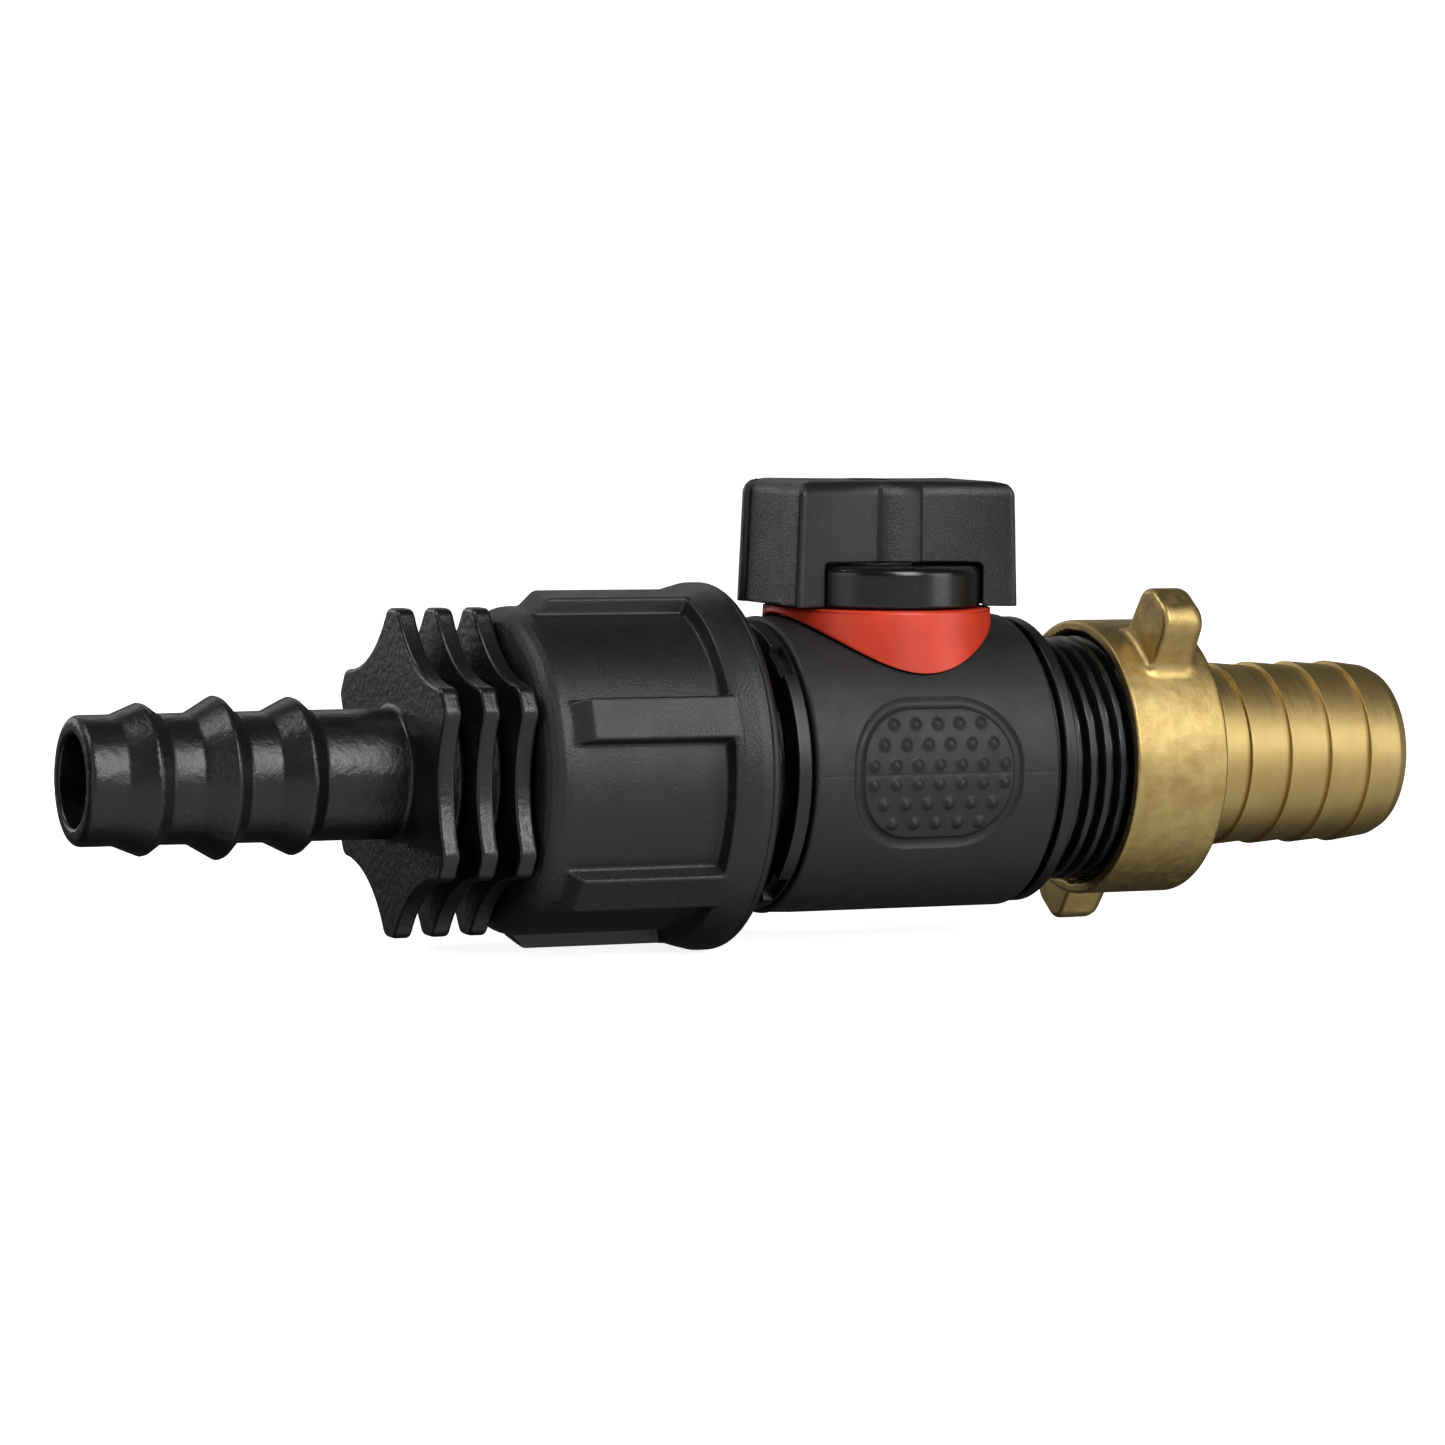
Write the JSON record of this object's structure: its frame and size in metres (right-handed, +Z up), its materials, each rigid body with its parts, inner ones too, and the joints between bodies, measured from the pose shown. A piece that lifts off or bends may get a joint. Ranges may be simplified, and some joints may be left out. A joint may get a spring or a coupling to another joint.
{
  "type": "in-line hose shut-off valve",
  "caption": "Quarter-turn in-line ball valve with a barbed plastic tail and union nut on one end, a brass hose tail and wing nut on the other, and a turning knob on top.",
  "frame": {"origin": "where the knob's stem axis crosses the flow axis, in the middle of the ball", "axes": "+X along the flow axis towards the brass hose tail, +Z up the stem towards the knob, +Y towards the side with the travel stop"},
  "size_m": [0.1498, 0.0386, 0.0494],
  "materials": {
    "black_nylon": "glossy moulded, slight orange peel",
    "black_nylon_matte": "fine-grained matte",
    "black_acetal": "satin moulded",
    "soft_grip": "soft matte",
    "red_plastic": "satin moulded",
    "disc_gloss": "glossy moulded",
    "knob_satin": "satin with fine texture",
    "ball_acetal": "smooth",
    "seat_ptfe": "smooth",
    "seal_rubber": "matte",
    "screw_steel": "bright",
    "tail_brass": "turned",
    "nut_brass": "cast, lightly mottled"
  },
  "bodies": {
    "valve": {"valve_body": "black_acetal", "end_connector": "black_acetal", "connector_oring": "seal_rubber", "seat_inlet": "seat_ptfe", "seat_outlet": "seat_ptfe", "grip_sleeve": "soft_grip", "indicator_collar": "red_plastic"},
    "handle": {"stem": "ball_acetal", "stem_washer": "seat_ptfe", "stem_oring_lower": "seal_rubber", "stem_oring_upper": "seal_rubber", "ball": "ball_acetal", "handle_disc": "disc_gloss", "handle_knob": "knob_satin", "handle_screw": "screw_steel"},
    "inlet": {"inlet_hose_tail": "black_nylon", "inlet_washer": "seal_rubber"},
    "nut": {"union_nut": "black_nylon_matte"},
    "outlet": {"outlet_hose_tail": "tail_brass", "outlet_washer": "seal_rubber"},
    "wing": {"wing_nut": "nut_brass"}
  },
  "joints": [
    {"name": "handle_turn", "type": "hinge", "parent": "valve", "child": "handle", "pos_m": [0, 0, 0], "axis": [0, 0, -1], "range_deg": [0, 90]},
    {"name": "inlet_slide", "type": "slide", "parent": "valve", "child": "inlet", "axis": [-1, 0, 0], "range_m": [0, 0.00935]},
    {"name": "union_nut_turn", "type": "hinge", "parent": "inlet", "child": "nut", "pos_m": [-0.0325, 0, 0], "axis": [-1, 0, 0], "range_deg": [0, 1850]},
    {"name": "outlet_slide", "type": "slide", "parent": "valve", "child": "outlet", "axis": [1, 0, 0], "range_m": [0, 0.005]},
    {"name": "wing_nut_turn", "type": "hinge", "parent": "outlet", "child": "wing", "pos_m": [0.03, 0, 0], "axis": [1, 0, 0], "range_deg": [0, 990]}
  ],
  "couplings": [
    {"joint": "inlet_slide", "follows": "union_nut_turn", "m_per_rad": 0.00028871},
    {"joint": "outlet_slide", "follows": "wing_nut_turn", "m_per_rad": 0.00028871}
  ]
}
